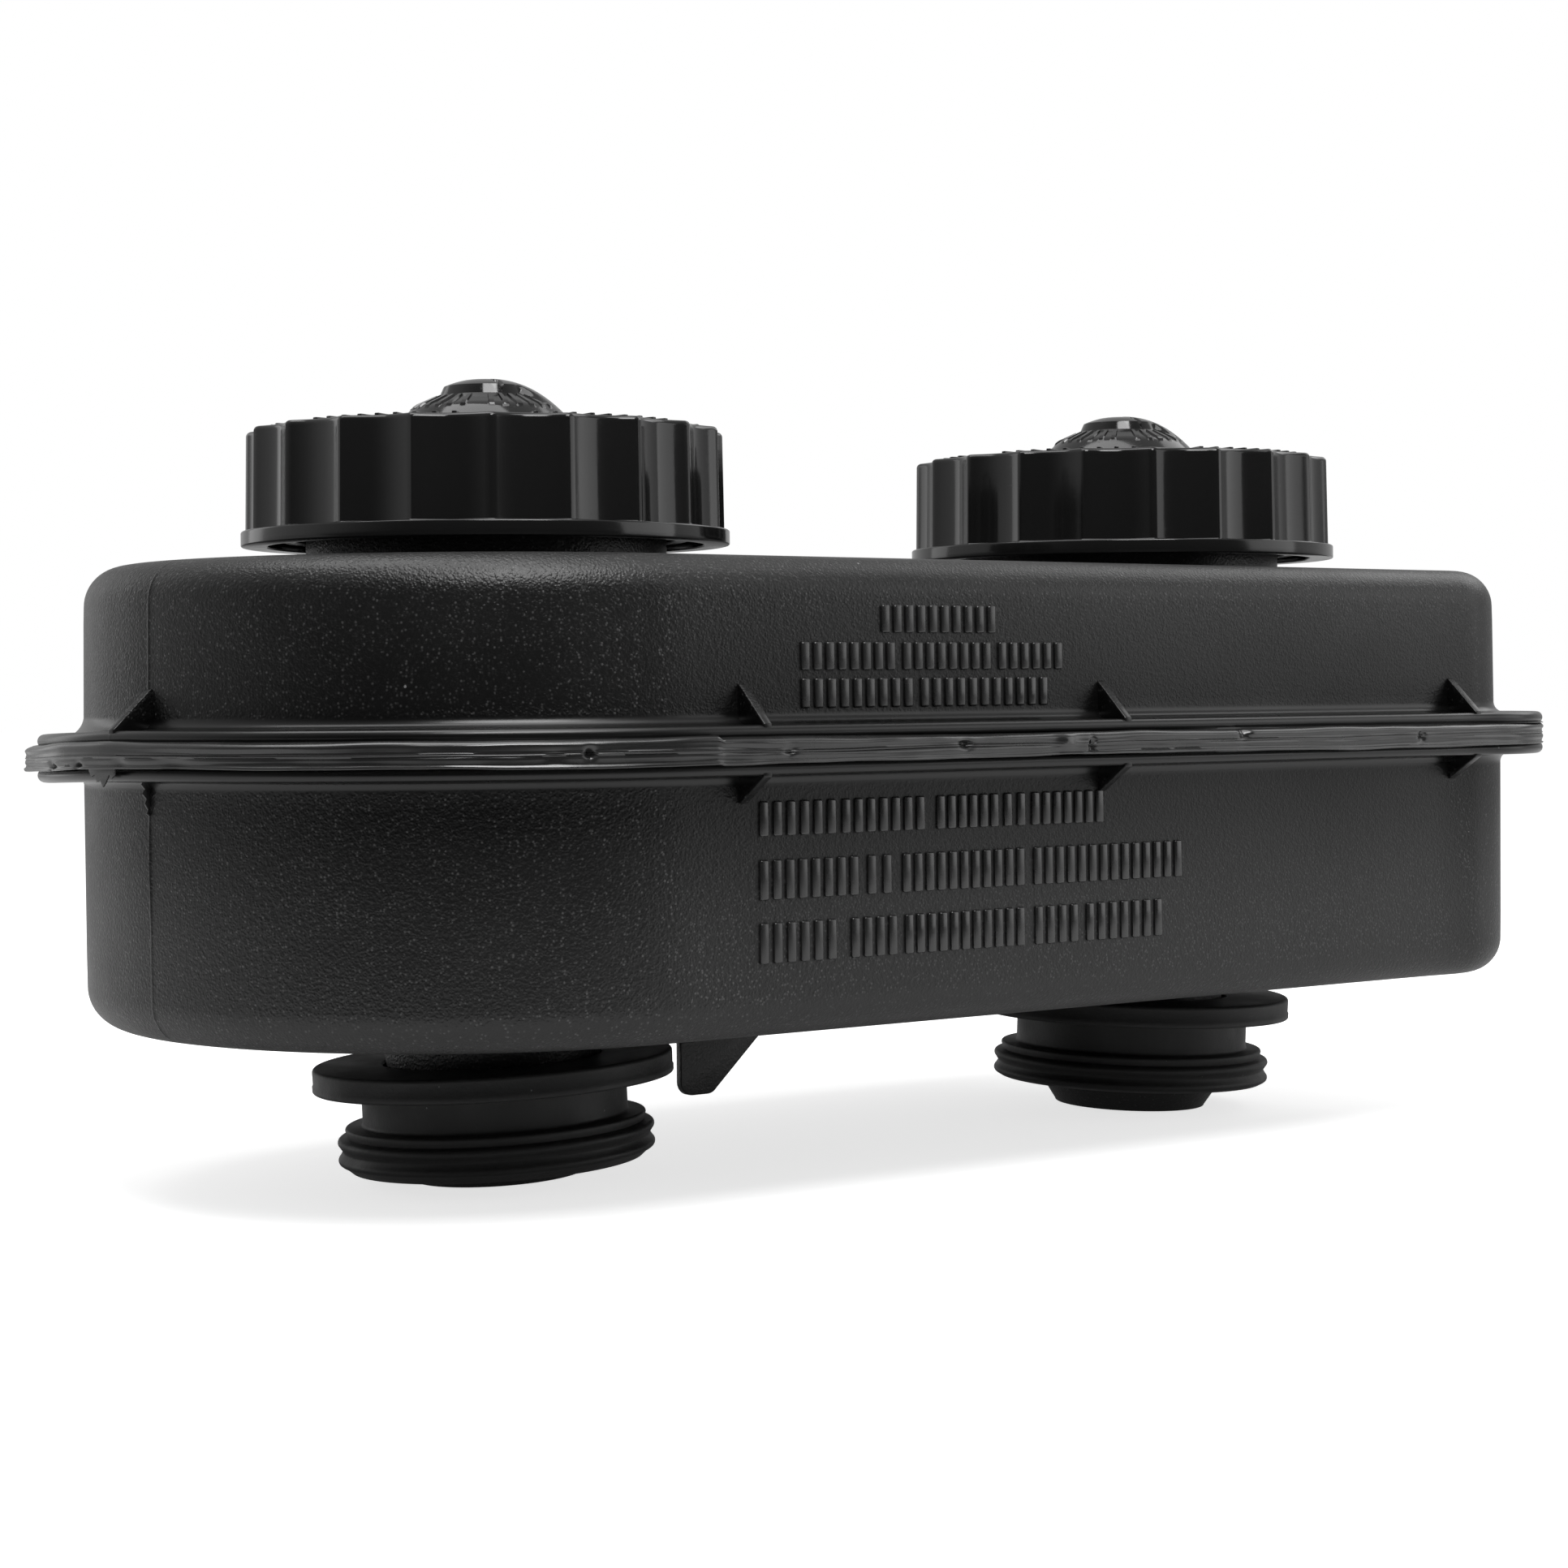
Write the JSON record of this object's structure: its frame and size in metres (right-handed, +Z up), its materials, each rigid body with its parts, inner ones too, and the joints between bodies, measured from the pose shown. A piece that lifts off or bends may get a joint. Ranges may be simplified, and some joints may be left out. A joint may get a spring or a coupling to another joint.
{
  "type": "brake fluid reservoir",
  "caption": "Twin-chamber brake fluid reservoir: two black moulded shells welded at a flange, fluted screw caps on top, spigots in ribbed rubber grommets below.",
  "frame": {"origin": "under the middle of the body, level with the lower ends of the outlet spigots", "axes": "+X from the rounded end to the square end, +Y away from the lettered side, +Z up through the caps"},
  "size_m": [0.2504, 0.135, 0.1234],
  "materials": {
    "shell_plastic": "black plastic with a coarse eroded grain",
    "cap_plastic": "smooth black gloss plastic",
    "bellows_rubber": "matt black rubber",
    "grommet_rubber": "matt black rubber"
  },
  "bodies": {
    "reservoir": {"upper_shell": "shell_plastic", "lower_shell": "shell_plastic", "left_grommet": "grommet_rubber", "right_grommet": "grommet_rubber"},
    "left_seal": {"left_bellows": "bellows_rubber"},
    "left_screw_cap": {"left_cap": "cap_plastic"},
    "right_seal": {"right_bellows": "bellows_rubber"},
    "right_screw_cap": {"right_cap": "cap_plastic"}
  },
  "joints": [
    {"name": "left_cap_rise", "type": "slide", "parent": "reservoir", "child": "left_seal", "axis": [0, 0, 1], "range_m": [0, 0.00601]},
    {"name": "left_cap_turn", "type": "hinge", "parent": "left_seal", "child": "left_screw_cap", "pos_m": [-0.05555, 0, 0.1], "axis": [0, 0, 1], "range_deg": [0, 360]},
    {"name": "right_cap_rise", "type": "slide", "parent": "reservoir", "child": "right_seal", "axis": [0, 0, 1], "range_m": [0, 0.00601]},
    {"name": "right_cap_turn", "type": "hinge", "parent": "right_seal", "child": "right_screw_cap", "pos_m": [0.07545, 0, 0.1], "axis": [0, 0, 1], "range_deg": [0, 360]}
  ],
  "couplings": [
    {"joint": "left_cap_rise", "follows": "left_cap_turn", "m_per_rad": 0.00095493},
    {"joint": "right_cap_rise", "follows": "right_cap_turn", "m_per_rad": 0.00095493}
  ]
}
